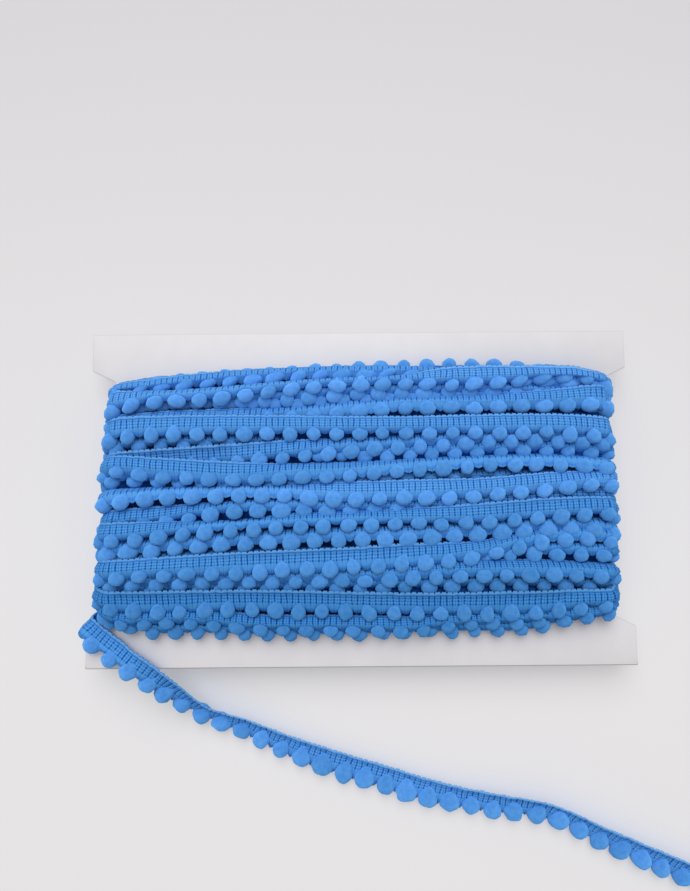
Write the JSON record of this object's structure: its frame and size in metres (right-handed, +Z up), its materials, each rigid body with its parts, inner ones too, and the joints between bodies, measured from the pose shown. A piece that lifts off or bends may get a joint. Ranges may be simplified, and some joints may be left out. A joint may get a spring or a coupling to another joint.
{
  "type": "pompom fringe trim wound on a card",
  "caption": "Ribbed tape edged with small felted pompoms, wound in flat turns round the neck of a plain winding card, with its loose end lying out beside it.",
  "frame": {"origin": "on the surface that the winding rests on, under the middle of the wound turns and of the card", "axes": "+X along the card's long side, towards the side where the loose end leaves; +Y from the card's bottom edge, where the loose end lies, to its top edge; +Z up, out of the card's front"},
  "size_m": [0.2359, 0.2114, 0.0268],
  "materials": {
    "card": "matte white coated board",
    "wound_trim": "matte azure polyester tape and felted pompoms",
    "tape": "ribbed azure polyester tape",
    "pompom": "matte felted azure yarn"
  },
  "bodies": {
    "root": {"winding_card": "card", "wound_trim": "wound_trim", "loose_end_tape": "tape", "pompom_01": "pompom", "pompom_02": "pompom", "pompom_03": "pompom", "pompom_04": "pompom", "pompom_05": "pompom", "pompom_06": "pompom", "pompom_07": "pompom", "pompom_08": "pompom", "pompom_09": "pompom", "pompom_10": "pompom", "pompom_11": "pompom", "pompom_12": "pompom", "pompom_13": "pompom", "pompom_14": "pompom", "pompom_15": "pompom", "pompom_16": "pompom", "pompom_17": "pompom", "pompom_18": "pompom", "pompom_19": "pompom", "pompom_20": "pompom", "pompom_21": "pompom", "pompom_22": "pompom", "pompom_23": "pompom", "pompom_24": "pompom", "pompom_25": "pompom", "pompom_26": "pompom", "pompom_27": "pompom", "pompom_28": "pompom", "pompom_29": "pompom", "pompom_30": "pompom", "pompom_31": "pompom", "pompom_32": "pompom"}
  },
  "joints": []
}
